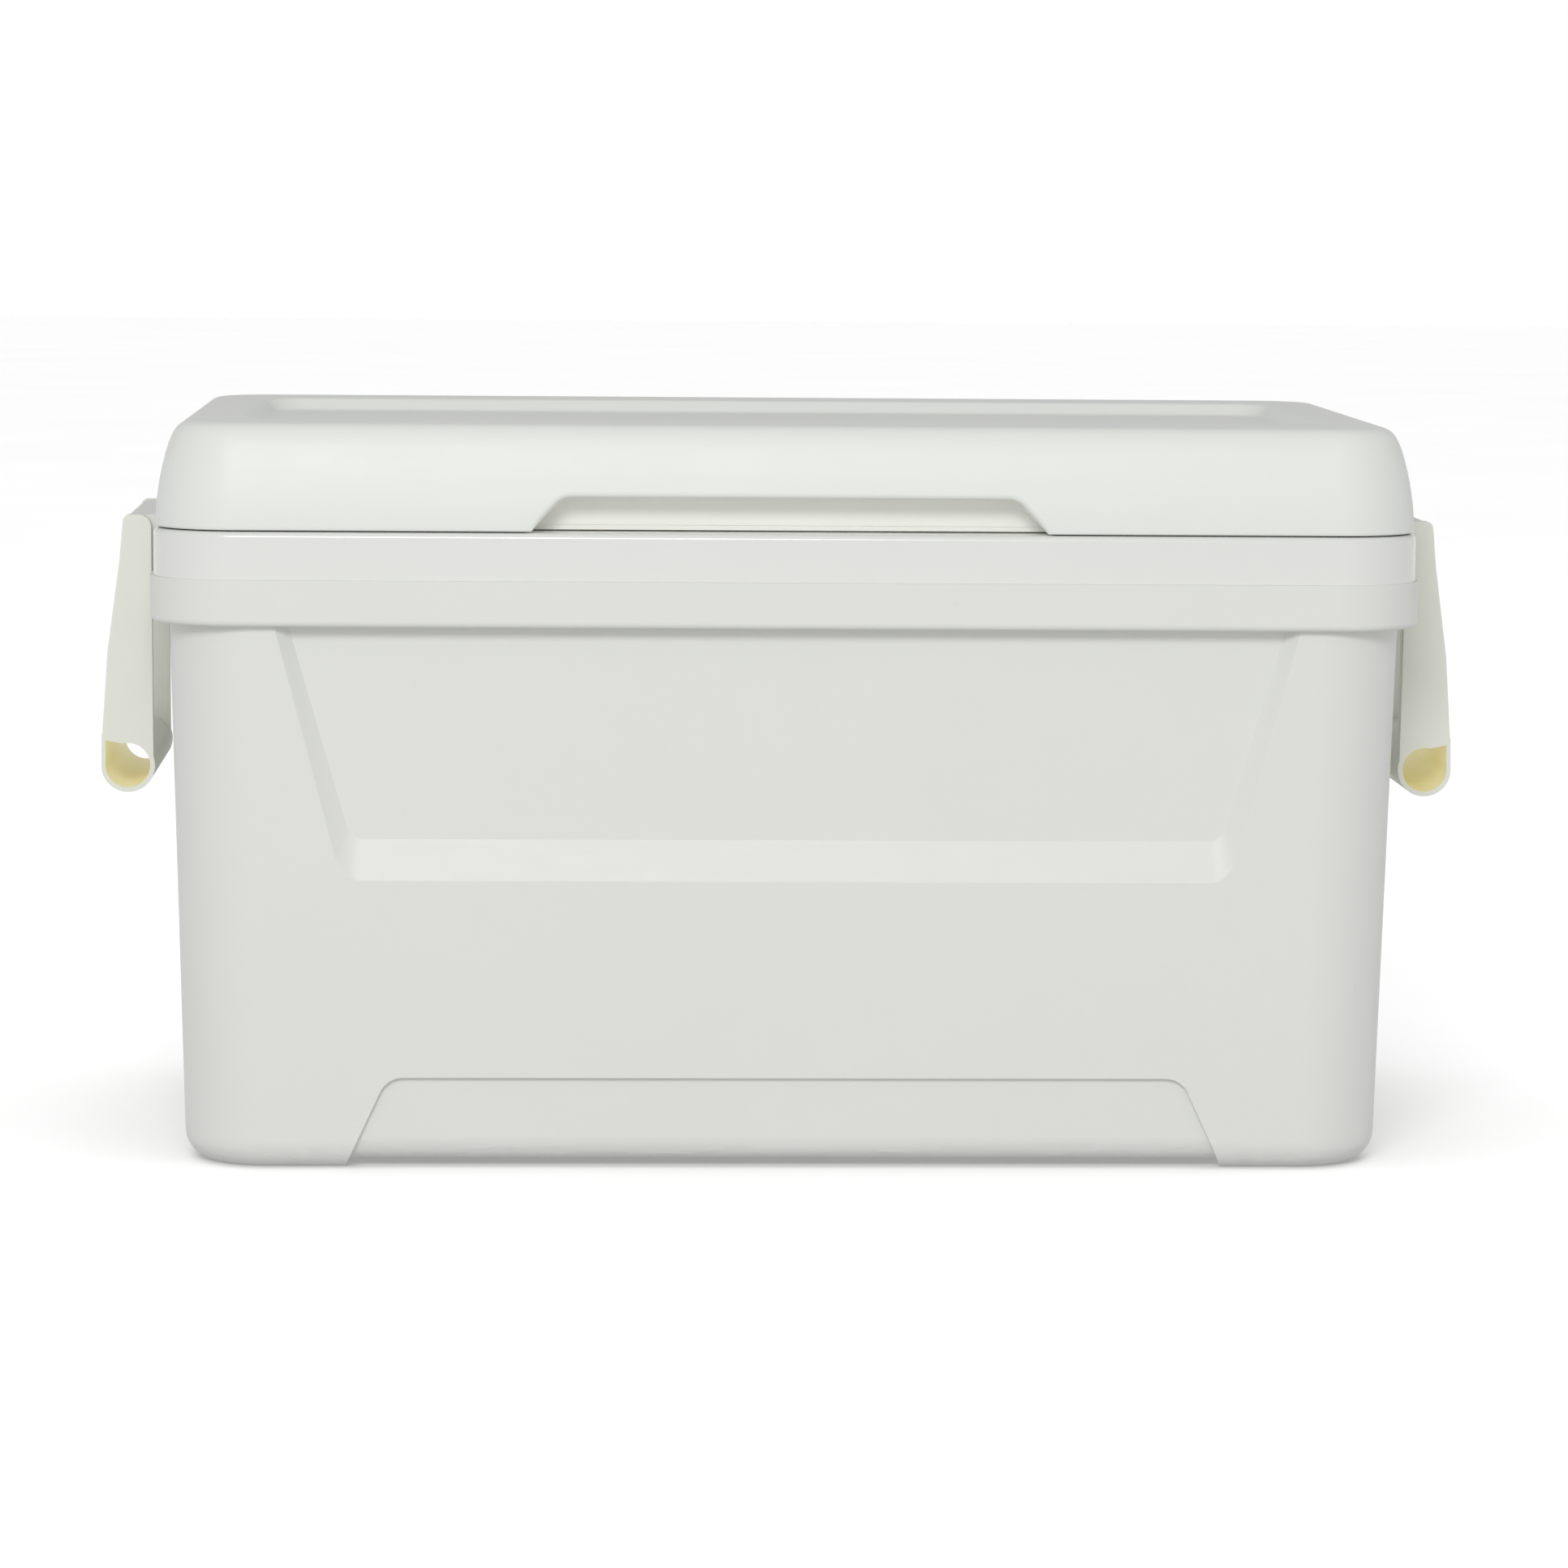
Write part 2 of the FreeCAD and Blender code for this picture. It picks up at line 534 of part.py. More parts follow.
def screw(tag, x, y, z, rot, out):
    """One screw; out is the unit vector from the shank to the head."""
    shank = cylinder(tag + "_shank", d("screw_r"), d("screw_len"), x, y, z, rot)
    head = doc.addObject("Part::Cylinder", tag + "_head")
    head.Radius, head.Height = VALUE["head_r"], VALUE["head_t"]
    bind(head, "Radius", d("head_r"))
    bind(head, "Height", d("head_t"))
    base = Vector(lift(x).v, lift(y).v, lift(z).v) + out * VALUE["screw_len"]
    head.Placement = Placement(base, rot)
    domed = rounded(tag + "_dome", head, lambda e: (e.CenterOfMass - base).dot(out) > VALUE["head_t"] - 0.01 and e.Curve.TypeId == "Part::GeomCircle", VALUE["head_t"] * 0.55)
    bars = []
    for k in range(2):
        b = doc.addObject("Part::Box", "%s_cross%d" % (tag, k))
        b.Length, b.Width, b.Height = VALUE["cross_len"], VALUE["cross_w"], VALUE["cross_in"] + 1.0
        bind(b, "Length", d("cross_len"))
        bind(b, "Width", d("cross_w"))
        local = Placement(Vector(0, 0, VALUE["head_t"] - VALUE["cross_in"]), Rotation(Vector(0, 0, 1), 45 + 90 * k))
        centre = Placement(Vector(-VALUE["cross_len"] / 2, -VALUE["cross_w"] / 2, 0), Rotation())
        b.Placement = head.Placement.multiply(local).multiply(centre)
        bars.append(b)
    return cut(tag, fuse(tag + "_solid", shank, domed), fuse(tag + "_recess", *bars))


def hole(tag, x, y, z, rot):
    return cylinder(tag, d("screw_r"), d("screw_len"), x, y, z, rot)


# ------------------------------------------------------------------ hinges
py, pz = d("pin_y"), d("pin_z")
back = d("collar_d") / 2
lid_lean = (d("lid_d0") - d("lid_dm")) / 2 / (d("lid_zm") - d("lid_z0"))


def lid_back(z):
    return d("lid_d0") / 2 - lid_lean * (lift(z) - d("lid_z0"))


def pad(body, sk, length, name, midplane=True, reverse=False):
    p = body.newObject("PartDesign::Pad", name)
    p.Profile = sk
    p.Length = lift(length).v
    bind(p, "Length", length)
    if midplane:
        p.SideType = "Symmetric"
    p.Reversed = reverse
    doc.recompute()
    return p


def pocket(body, sk, name, length=None, midplane=True, reverse=False):
    before = body.Shape.Volume
    p = body.newObject("PartDesign::Pocket", name)
    p.Profile = sk
    if length is None:
        p.Type = "ThroughAll"
    else:
        p.Length = lift(length).v
        bind(p, "Length", length)
    if midplane:
        p.SideType = "Symmetric"
    p.Reversed = reverse
    doc.recompute()
    if not body.Shape.Volume < before - 0.01:
        raise RuntimeError("pocket %s cut nothing" % name)
    return p


def soften(body, base, pick, radius, name):
    names = ["Edge%d" % i for i, e in enumerate(base.Shape.Edges, 1) if pick(e)]
    if not names:
        raise RuntimeError("no edges for " + name)
    f = body.newObject("PartDesign::Fillet", name)
    f.Base = (base, names)
    f.Radius = lift(radius).v
    bind(f, "Radius", radius)
    doc.recompute()
    return f


def body_leaf(tag, x0):
    b = doc.addObject("PartDesign::Body", tag)
    plate = body_sketch(b, "YZ_Plane", tag + "_plate", x0)
    t = d("leaf_t")
    polygon(plate, [(back, d("leaf_low")), (back + t, d("leaf_low")), (back + t, pz - 9.5), (py + 2.6, pz - 3.2),
                    (py, pz), (py - 3.6, pz - 1.2), (back + 0.9, pz - 4.4), (back, pz - 5.2)])
    pad(b, plate, d("hinge_len"), tag + "_plate_pad")
    barrel = body_sketch(b, "YZ_Plane", tag + "_barrel", x0)
    circle(barrel, py, pz, d("barrel_r"))
    pad(b, barrel, d("hinge_len"), tag + "_barrel_pad")
    gap = body_sketch(b, "YZ_Plane", tag + "_gap", x0)
    polygon(gap, [(back + t, pz - 10.5), (py + 8.0, pz - 10.5), (py + 8.0, pz + 8.0), (back - 1.0, pz + 8.0), (back - 1.0, pz - 5.5), (back + t, pz - 5.5)])
    pocket(b, gap, tag + "_gap_cut", d("knuckle_gap"))
    bore = body_sketch(b, "YZ_Plane", tag + "_bore", x0)
    circle(bore, py, pz, d("pin_r"))
    pocket(b, bore, tag + "_bore_cut", d("hinge_len") + 10.0)
    holes = body_sketch(b, "XZ_Plane", tag + "_screws", -back)
    for k, s in enumerate((-1, 1)):
        circle(holes, x0 + d("leaf_screw_x") * s, d("leaf_screw_lo"), d("screw_r"), "H%d" % k)
    pocket(b, holes, tag + "_screw_cut", lift(20.0))
    last = b.Tip
    soften(b, last, lambda e: e.Curve.TypeId == "Part::GeomLine" and abs(e.Length - t.v) < 0.01 and abs(e.CenterOfMass.z - VALUE["leaf_low"]) < 0.01, 3.0, tag + "_corners")
    return b


def lid_leaf(tag, x0):
    b = doc.addObject("PartDesign::Body", tag)
    t = d("leaf_t")
    low = pz + 5.2
    high = d("leaf_high")
    plate = body_sketch(b, "YZ_Plane", tag + "_plate", x0)
    polygon(plate, [(lid_back(low), low), (lid_back(low) + t, low), (lid_back(high) + t, high), (lid_back(high), high)])
    pad(b, plate, d("hinge_len"), tag + "_plate_pad")
    arm = body_sketch(b, "YZ_Plane", tag + "_arm", x0)
    base = pz + 0.6
    polygon(arm, [(lid_back(base), base), (py, pz + 0.2), (py, pz + 4.0), (lid_back(low) + t, low + 3.0), (lid_back(low + 3.0), low + 3.0)])
    pad(b, arm, d("knuckle_len"), tag + "_arm_pad")
    barrel = body_sketch(b, "YZ_Plane", tag + "_barrel", x0)
    circle(barrel, py, pz, d("barrel_r"))
    pad(b, barrel, d("knuckle_len"), tag + "_barrel_pad")
    bore = body_sketch(b, "YZ_Plane", tag + "_bore", x0)
    circle(bore, py, pz, d("pin_r") + d("pin_fit"))
    pocket(b, bore, tag + "_bore_cut", d("hinge_len"))
    holes = body_sketch(b, "XZ_Plane", tag + "_screws", -back)
    for k, s in enumerate((-1, 1)):
        circle(holes, x0 + d("leaf_screw_x") * s, d("leaf_screw_hi"), d("screw_r"), "H%d" % k)
    pocket(b, holes, tag + "_screw_cut", lift(20.0))
    last = b.Tip
    soften(b, last, lambda e: e.Curve.TypeId == "Part::GeomLine" and abs(e.Length - t.v) < 0.01 and abs(e.CenterOfMass.z - high.v) < 0.01, 3.0, tag + "_corners")
    return b


body_screws, lid_screws = [], []
for side, sign in (("left", -1), ("right", 1)):
    x0 = d("hinge_x") * sign
    finish(body_leaf("hinge_body_leaf_" + side, x0), "hinge_body_leaf_" + side)
    finish(lid_leaf("hinge_lid_leaf_" + side, x0), "hinge_lid_leaf_" + side)
    # riveted pin: a shank with a low dome at each end
    tag = "hinge_pin_" + side
    shank = cylinder(tag + "_shank", d("pin_r"), d("hinge_len"), x0 - d("hinge_len") / 2, py, pz, TO_RIGHT)
    caps = []
    for k, s in enumerate((-1, 1)):
        cap = cylinder("%s_cap%d" % (tag, k), d("pin_r") + 1.0, lift(1.2), x0 + (d("hinge_len") / 2 - 0.0) * s - (1.2 if s < 0 else 0.0), py, pz, TO_RIGHT)
        xo = x0.v + s * (VALUE["hinge_len"] / 2 + 1.2)
        caps.append(rounded("%s_dome%d" % (tag, k), cap, lambda e, xo=xo: e.Curve.TypeId == "Part::GeomCircle" and abs(e.CenterOfMass.x - xo) < 0.01, 0.9))
    finish(fuse(tag, shank, *caps), tag)
    for k, s in enumerate((-1, 1)):
        sx = x0 + d("leaf_screw_x") * s
        y_body = back + d("leaf_t") - d("screw_len")
        body_screws.append(screw("hinge_body_screw_%s_%d" % (side, k), sx, y_body, d("leaf_screw_lo"), TO_BACK, Vector(0, 1, 0)))
        screw_holes["liner"].append(hole("liner_hole_%s_%d" % (side, k), sx, y_body, d("leaf_screw_lo"), TO_BACK))
        screw_holes["foam"].append(hole("foam_hole_%s_%d" % (side, k), sx, y_body, d("leaf_screw_lo"), TO_BACK))
        y_lid = lid_back(d("leaf_screw_hi")) + d("leaf_t") + 0.32 - d("screw_len")
        lid_screws.append(screw("hinge_lid_screw_%s_%d" % (side, k), sx, y_lid, d("leaf_screw_hi"), TO_BACK, Vector(0, 1, 0)))
        screw_holes["lid"].append(hole("lid_hole_%s_%d" % (side, k), sx, y_lid, d("leaf_screw_hi"), TO_BACK))

# ------------------------------------------------------------------ carrying handles
# Swing-up bail handles: two flat arms joined by a hollow grip that is open at both ends.
# side is -1 on the left, +1 on the right.


def handle(tag, side):
    b = doc.addObject("PartDesign::Body", tag)

    def X(q):
        return lift(q) * side

    arm_pts = [
        (X(d("arm_in")), d("arm_top")), (X(d("arm_xt")), d("arm_top")), (X(d("arm_xm")), d("arm_zm")),
        (X(d("arm_xl")), d("arm_zl")), (X(d("arm_xg")), d("arm_zg")),
        (X(d("grip_cx")), d("grip_cz")), (X(d("grip_cx") - d("grip_ro") * 0.94), d("grip_cz") + 4.4), (X(d("arm_in")), d("arm_zl") + 11.0),
    ]
    if side < 0:
        arm_pts = arm_pts[::-1]
    y_in, y_out = d("arm_y0"), d("arm_y1")
    last = None
    for k, s in enumerate((-1, 1)):
        # the XZ plane's normal points to -Y, so a plane at Y = y is offset by -y
        sk = body_sketch(b, "XZ_Plane", "%s_arm%d" % (tag, k), (y_in + y_out) / 2 * s)
        polygon(sk, arm_pts)
        last = pad(b, sk, y_out - y_in, "%s_arm_pad%d" % (tag, k))
        if k == 0:
            grip = body_sketch(b, "XZ_Plane", tag + "_grip", 0.0)
            circle(grip, X(d("grip_cx")), d("grip_cz"), d("grip_ro"))
            pad(b, grip, y_out * 2, tag + "_grip_pad")
            flat = body_sketch(b, "XZ_Plane", tag + "_grip_flat", 0.0)
            pts = [(X(d("grip_cx") - 2.0), d("grip_cz")), (X(d("arm_xg") - 0.1), d("grip_cz") + 1.0), (X(d("arm_xg") - 0.3), d("grip_sq") + 1.2), (X(d("grip_cx") + 2.5), d("grip_sq") - 1.4)]
            polygon(flat, pts if side > 0 else pts[::-1])
            pad(b, flat, y_out * 2, tag + "_flat_pad")
    bore = body_sketch(b, "XZ_Plane", tag + "_bore", 0.0)
    circle(bore, X(d("grip_cx") + 0.1), d("grip_cz") + 0.1, d("grip_ri"))
    pocket(b, bore, tag + "_bore_cut", y_out * 2 + 20.0)
    corner = body_sketch(b, "XZ_Plane", tag + "_corner", 0.0)
    pts = [(X(d("grip_cx")), d("grip_cz")), (X(d("grip_cx") + d("grip_ri")), d("grip_cz")), (X(d("grip_cx") + d("grip_ri")), d("grip_sq") - 1.8), (X(d("grip_cx") + 3.0), d("grip_sq") - 3.4)]
    polygon(corner, pts if side > 0 else pts[::-1])
    pocket(b, corner, tag + "_corner_cut", y_out * 2 + 20.0)
    for k, s in enumerate((-1, 1)):
        # blind bores for the pivot rod, open on the arms' inner faces
        sk = body_sketch(b, "XZ_Plane", "%s_pivot%d" % (tag, k), (d("arm_bore") + (d("arm_y0") - 2.0)) / 2 * s)
        circle(sk, X(d("pivot_x")), d("pivot_z"), d("rod_r") + d("rod_fit"))
        pocket(b, sk, "%s_pivot_cut%d" % (tag, k), d("arm_bore") - (d("arm_y0") - 2.0))
    last = b.Tip
    top_in = lambda e: e.Curve.TypeId == "Part::GeomLine" and abs(e.Length - 8.0) < 0.01 and abs(abs(e.CenterOfMass.x) - VALUE["arm_in"]) < 0.01 and abs(e.CenterOfMass.z - VALUE["arm_top"]) < 0.01
    last = soften(b, last, top_in, 6.0, tag + "_heel")
    top_out = lambda e: e.Curve.TypeId == "Part::GeomLine" and abs(e.Length - 8.0) < 0.01 and abs(abs(e.CenterOfMass.x) - VALUE["arm_xt"]) < 0.01 and abs(e.CenterOfMass.z - VALUE["arm_top"]) < 0.01
    last = soften(b, last, top_out, 3.2, tag + "_toe")
    return b


for side, sign in (("left", -1), ("right", 1)):
    finish(handle("handle_" + side, sign), "handle_" + side)

    # bracket: a block between the arms that carries the rod, on a screw plate that runs
    # behind the arms and stops them
    tag = "handle_bracket_" + side
    b = doc.addObject("PartDesign::Body", tag)

    def X(q, sign=sign):
        return lift(q) * sign

    sk = body_sketch(b, "XZ_Plane", tag + "_block", 0.0)
    side_c, side_b = d("collar_w") / 2, d("band_w") / 2
    # the collar's top edge is rounded, so the block meets it just below the rounding
    pts = [
        (X(side_c), d("band_z1")), (X(side_b), d("band_z1")), (X(side_b), d("brk_low")), (X(d("brk_plate")), d("brk_low")),
        (X(d("brk_plate")), d("band_z1") - 4.0), (X(d("brk_x") - 1.5), d("band_z1") + 1.5), (X(d("brk_x")), d("band_z1") + 4.0),
        (X(d("brk_x") - 0.6), d("brk_top")), (X(side_c), d("brk_top")),
    ]
    polygon(sk, pts if sign < 0 else pts[::-1])
    pad(b, sk, d("brk_y") * 2, tag + "_block_pad")
    sk = body_sketch(b, "XZ_Plane", tag + "_plate", 0.0)
    pts = [(X(side_b), d("brk_low")), (X(d("brk_plate")), d("brk_low")), (X(d("brk_plate")), d("band_z1") - 5.0), (X(side_b), d("band_z1") - 5.0)]
    polygon(sk, pts if sign < 0 else pts[::-1])
    pad(b, sk, d("brk_stop") * 2, tag + "_plate_pad")
    sk = body_sketch(b, "XZ_Plane", tag + "_rod", 0.0)
    circle(sk, X(d("pivot_x")), d("pivot_z"), d("rod_r"))
    pocket(b, sk, tag + "_rod_cut", d("brk_stop") * 2 + 20.0)
    sk = body_sketch(b, "YZ_Plane", tag + "_screws", X(d("brk_plate")))
    for k, s in enumerate((-1, 1)):
        circle(sk, d("brk_screw_y") * s, d("brk_screw_z"), d("screw_r"), "H%d" % k)
    pocket(b, sk, tag + "_screw_cut", lift(12.0))
    long_top = lambda e: e.Curve.TypeId == "Part::GeomLine" and e.Length > 100 and abs(e.CenterOfMass.z - VALUE["brk_top"]) < 0.01 and abs(e.CenterOfMass.x) > 310
    soften(b, b.Tip, long_top, 2.5, tag + "_edge")
    finish(b, tag)

    rod = cylinder("handle_pivot_rod_" + side, d("rod_r"), d("rod_half") * 2, X(d("pivot_x")), -d("rod_half"), d("pivot_z"), TO_BACK)
    rod.Label = "handle_pivot_rod_" + side
    bind(rod, "Placement.Base.y", -d("rod_half") - d("shift_back"))
    NODES.append(rod)

    screws = []
    out = Vector(sign, 0, 0)
    rot = Rotation(Vector(0, 1, 0), 90 * sign)
    for k, s in enumerate((-1, 1)):
        sx = X(d("brk_plate") - d("screw_len"))
        sy = d("brk_screw_y") * s
        screws.append(screw("bracket_screw_%s_%d" % (side, k), sx, sy, d("brk_screw_z"), rot, out))
        screw_holes["shell"].append(hole("shell_hole_%s_%d" % (side, k), sx, sy, d("brk_screw_z"), rot))
    group = doc.addObject("Part::Compound", "bracket_screws_" + side)
    group.Links = screws
    finish(group, "bracket_screws_" + side)

for tag, screws in (("hinge_body_screws", body_screws), ("hinge_lid_screws", lid_screws)):
    group = doc.addObject("Part::Compound", tag)
    group.Links = screws
    finish(group, tag)

# ------------------------------------------------------------------ chest pieces with their screw holes
shell_drill = fuse("shell_drill", *screw_holes["shell"])
liner_drill = fuse("liner_drill", *screw_holes["liner"])
finish(cut("outer_shell", shell_hollow, shell_drill), "outer_shell")

doc.recompute()


def mouth_edge(e):
    p = e.CenterOfMass
    flat = all(abs(v.Point.z - VALUE["collar_top"]) < 0.02 for v in e.Vertexes) and abs(p.z - VALUE["collar_top"]) < 0.02
    return flat and abs(p.x) < VALUE["tub_w1"] / 2 + 1 and abs(p.y) < VALUE["tub_d1"] / 2 + 1


liner_lip = rounded("liner_lip", liner_form, mouth_edge, 1.8)
finish(cut("inner_liner", liner_lip, liner_drill), "inner_liner")

foam_form = cut("foam_form", fuse("foam_space", cavity, channel), tub_out)
finish(cut("body_foam", foam_form, fuse("foam_drill", *(screw_holes["foam"] + [hole("foam_side_%d" % i, X_, Y_, d("brk_screw_z"), R_) for i, (X_, Y_, R_) in enumerate(
    [(d("brk_plate") * sg - d("screw_len") * sg, d("brk_screw_y") * s, Rotation(Vector(0, 1, 0), 90 * sg)) for sg in (-1, 1) for s in (-1, 1)])]))), "body_foam")

# ------------------------------------------------------------------ lid
lt = d("lid_t")


def lid_block(tag, inset, top_drop):
    low = ring(tag + "_low", d("lid_w0") - inset * 2, d("lid_d0") - inset * 2, d("lid_r0") - inset, d("lid_z0"))
    mid = ring(tag + "_mid", d("lid_wm") - inset * 2, d("lid_dm") - inset * 2, d("lid_rm") - inset, d("lid_zm"))
    lean = (d("lid_wm") - d("lid_w1")) / (d("lid_z1") - d("lid_zm"))
    high = ring(tag + "_high", d("lid_w1") + lean * top_drop - inset * 2, d("lid_d1") + lean * top_drop - inset * 2, d("lid_r1") - inset, d("lid_z1") - top_drop)
    return loft(tag, low, mid, high)


lid_form = rounded("lid_form", lid_block("lid_solid", lift(0.0), lift(0.0)), at_z(VALUE["lid_z1"]), VALUE["lid_edge"])
lid_hollow = rounded("lid_hollow", lid_block("lid_hollow_solid", lt, lt), at_z(VALUE["lid_z1"] - VALUE["lid_t"]), VALUE["lid_edge"] - VALUE["lid_t"])

run = d("dish_run")
dish = loft("dish", ring("dish_low", d("dish_w") - run * 2, d("dish_d") - run * 2, d("dish_r") - run, d("lid_z1") - d("dish_in")),
            ring("dish_high", d("dish_w") + 4.0, d("dish_d") + 4.0, d("dish_r") + 2.0, d("lid_z1") + 2.0))
dish_in = loft("dish_in", ring("dish_in_low", d("dish_w") - run * 2 + 2.2, d("dish_d") - run * 2 + 2.2, d("dish_r") - run + 1.1, d("lid_z1") - d("dish_in") - lt),
               ring("dish_in_high", d("dish_w") + 11.4, d("dish_d") + 11.4, d("dish_r") + 5.7, d("lid_z1") + 2.0))


def notch_tool(tag, grow):
    grow = lift(grow)
    slope = (d("notch_x0") - d("notch_x1")) / (d("notch_top") - d("lid_z0"))
    side = grow * math.sqrt(1 + slope.v ** 2)
    sk = doc.addObject("Sketcher::SketchObject", tag + "_outline")
    y0 = -(VALUE["notch_back"] - grow.v)
    sk.Placement = Placement(Vector(0, y0, 0), Rotation(Vector(1, 0, 0), 90))
    top = d("notch_top") + grow
    x1 = d("notch_x1") + side - slope * grow
    x0 = d("notch_x0") + side + slope * 20.0
    polygon(sk, [(-x0, d("lid_z0") - 20.0), (x0, d("lid_z0") - 20.0), (x1, top), (-x1, top)])
    block = extrude(tag + "_block", sk, Vector(0, -1, 0), 40.0)
    corner = rounded(tag + "_corners", block, lambda e: all(abs(v.Point.z - top.v) < 0.01 for v in e.Vertexes) and abs(abs(e.CenterOfMass.x) - x1.v) < 0.01, VALUE["notch_r"] + grow.v)
    return corner


notch = notch_tool("notch", 0.0)
notch_in = notch_tool("notch_in", VALUE["lid_t"])
lid_outer = cut("lid_outer", cut("lid_dished", lid_form, dish), notch)
lid_space = cut("lid_space", cut("lid_space_dished", lid_hollow, dish_in), notch_in)
lid_drill = fuse("lid_drill", *screw_holes["lid"])
finish(cut("lid_shell", cut("lid_shell_form", lid_outer, lid_space), lid_drill), "lid_shell")

pt = d("panel_t")
plate = loft("plate", ring("plate_low", d("plate_w"), d("plate_d"), d("plate_r"), d("lid_z0")), ring("plate_high", d("plate_w"), d("plate_d"), d("plate_r"), d("lid_z0") + pt))
plug_out = rounded("plug_out", loft("plug_out_solid", ring("plug_out_low", d("plug_w") - 3.0, d("plug_d") - 3.0, d("plug_r") - 1.5, d("plug_z0")),
                                    ring("plug_out_high", d("plug_w"), d("plug_d"), d("plug_r"), d("lid_z0") + pt)), at_z(VALUE["plug_z0"]), 5.0)
plug_in = rounded("plug_in", loft("plug_in_solid", ring("plug_in_low", d("plug_w") - 3.0 - pt * 2, d("plug_d") - 3.0 - pt * 2, d("plug_r") - 1.5 - pt, d("plug_z0") + pt),
                                  ring("plug_in_high", d("plug_w") - pt * 2, d("plug_d") - pt * 2, d("plug_r") - pt, d("lid_z0") + pt)), at_z(VALUE["plug_z0"] + VALUE["panel_t"]), 3.0)
panel_solid = cut("panel_solid", fuse("panel_block", plate, plug_out), plug_in)
finish(cut("lid_inner_panel", panel_solid, notch_in), "lid_inner_panel")

below = box("below_plate", -400.0, -300.0, 200.0, 800.0, 600.0, d("lid_z0") + pt - 200.0)
foam_top = cut("lid_foam_top", lid_space, below)
foam_all = fuse("lid_foam_all", foam_top, plug_in)
lid_foam_holes = fuse("lid_foam_holes", *[hole("lid_foam_hole_%d" % i, o_x, lid_back(d("leaf_screw_hi")) + d("leaf_t") + 0.32 - d("screw_len"), d("leaf_screw_hi"), TO_BACK)
                                          for i, o_x in enumerate([d("hinge_x") * a + d("leaf_screw_x") * c for a in (-1, 1) for c in (-1, 1)])])
finish(cut("lid_foam", foam_all, lid_foam_holes), "lid_foam")

doc.recompute()

# ------------------------------------------------------------------ checks and export
bad = []
for o in doc.Objects:
    state = list(o.State)
    if "Invalid" in state or "Error" in state:
        bad.append("%s: %s" % (o.Name, state))
for o in NODES:
    if o.Shape.isNull() or not o.Shape.isValid() or not o.Shape.Solids:
        bad.append("%s: bad shape" % o.Label)
if bad:
    raise RuntimeError("; ".join(bad))

os.makedirs("parts", exist_ok=True)
for o in NODES:
    s = o.Shape
    bb = s.BoundBox
    print("%-26s solids %d  volume %10.0f  x %.1f %.1f  y %.1f %.1f  z %.1f %.1f" % (
        o.Label, len(s.Solids), s.Volume, bb.XMin, bb.XMax, bb.YMin, bb.YMax, bb.ZMin, bb.ZMax))
    s.exportStep("parts/%s.step" % o.Label)
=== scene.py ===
import bpy, bmesh, json, math
from mathutils import Vector, Matrix

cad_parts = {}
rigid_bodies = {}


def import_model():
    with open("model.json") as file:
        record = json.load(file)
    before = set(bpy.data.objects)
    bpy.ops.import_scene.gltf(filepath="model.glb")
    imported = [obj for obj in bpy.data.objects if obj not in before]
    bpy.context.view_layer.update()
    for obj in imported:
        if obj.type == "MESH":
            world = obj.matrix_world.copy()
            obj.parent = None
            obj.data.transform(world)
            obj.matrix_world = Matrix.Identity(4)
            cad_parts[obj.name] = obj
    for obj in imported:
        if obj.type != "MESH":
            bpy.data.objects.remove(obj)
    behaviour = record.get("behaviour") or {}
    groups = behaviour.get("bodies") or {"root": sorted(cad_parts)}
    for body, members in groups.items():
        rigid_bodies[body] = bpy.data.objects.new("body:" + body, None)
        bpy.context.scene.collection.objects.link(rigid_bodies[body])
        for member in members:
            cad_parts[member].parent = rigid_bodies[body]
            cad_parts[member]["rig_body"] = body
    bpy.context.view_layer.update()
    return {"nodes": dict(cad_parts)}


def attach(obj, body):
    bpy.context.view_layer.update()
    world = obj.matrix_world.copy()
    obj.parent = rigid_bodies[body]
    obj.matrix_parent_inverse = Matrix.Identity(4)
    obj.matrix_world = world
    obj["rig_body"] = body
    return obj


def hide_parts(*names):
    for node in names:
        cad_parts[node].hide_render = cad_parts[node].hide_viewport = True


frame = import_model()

N = frame["nodes"]
scene = bpy.context.scene
SHIFT = -0.00445            # middle of the collar, in the row frame

# ------------------------------------------------------------------ camera
cam_data = bpy.data.cameras.new("camera")
cam = bpy.data.objects.new("camera", cam_data)
scene.collection.objects.link(cam)
yaw, pitch, roll = math.radians(2.408), math.radians(6.154), math.radians(-0.461)
cy, sy, cp, sp, cr, sr = math.cos(yaw), math.sin(yaw), math.cos(pitch), math.sin(pitch), math.cos(roll), math.sin(roll)
fwd = Vector((sy * cp, cy * cp, -sp))
right = Vector((cy, -sy, 0))
down = fwd.cross(right)
r2 = cr * right + sr * down
d2 = -sr * right + cr * down
m = Matrix((r2, -d2, -fwd)).transposed().to_4x4()
m.translation = Vector((-0.114826, -2.855217 + SHIFT, 0.472623))
cam.matrix_world = m
cam_data.sensor_width = 36.0
cam_data.sensor_fit = "HORIZONTAL"
cam_data.lens = 7153.8 * 36.0 / 1932.0
cam_data.clip_end = 50.0
scene.camera = cam


# ------------------------------------------------------------------ materials
def nodes_of(name):
    mat = bpy.data.materials.new(name)
    mat.use_nodes = True
    nt = mat.node_tree
    nt.nodes.clear()
    out = nt.nodes.new("ShaderNodeOutputMaterial")
    bsdf = nt.nodes.new("ShaderNodeBsdfPrincipled")
    nt.links.new(bsdf.outputs["BSDF"], out.inputs["Surface"])
    co = nt.nodes.new("ShaderNodeTexCoord")
    return mat, nt, bsdf, co.outputs["Object"]


def noise(nt, vec, scale, detail=4.0, rough=0.55):
    n = nt.nodes.new("ShaderNodeTexNoise")
    n.inputs["Scale"].default_value = scale
    n.inputs["Detail"].default_value = detail
    n.inputs["Roughness"].default_value = rough
    nt.links.new(vec, n.inputs["Vector"])
    return n.outputs["Fac"]


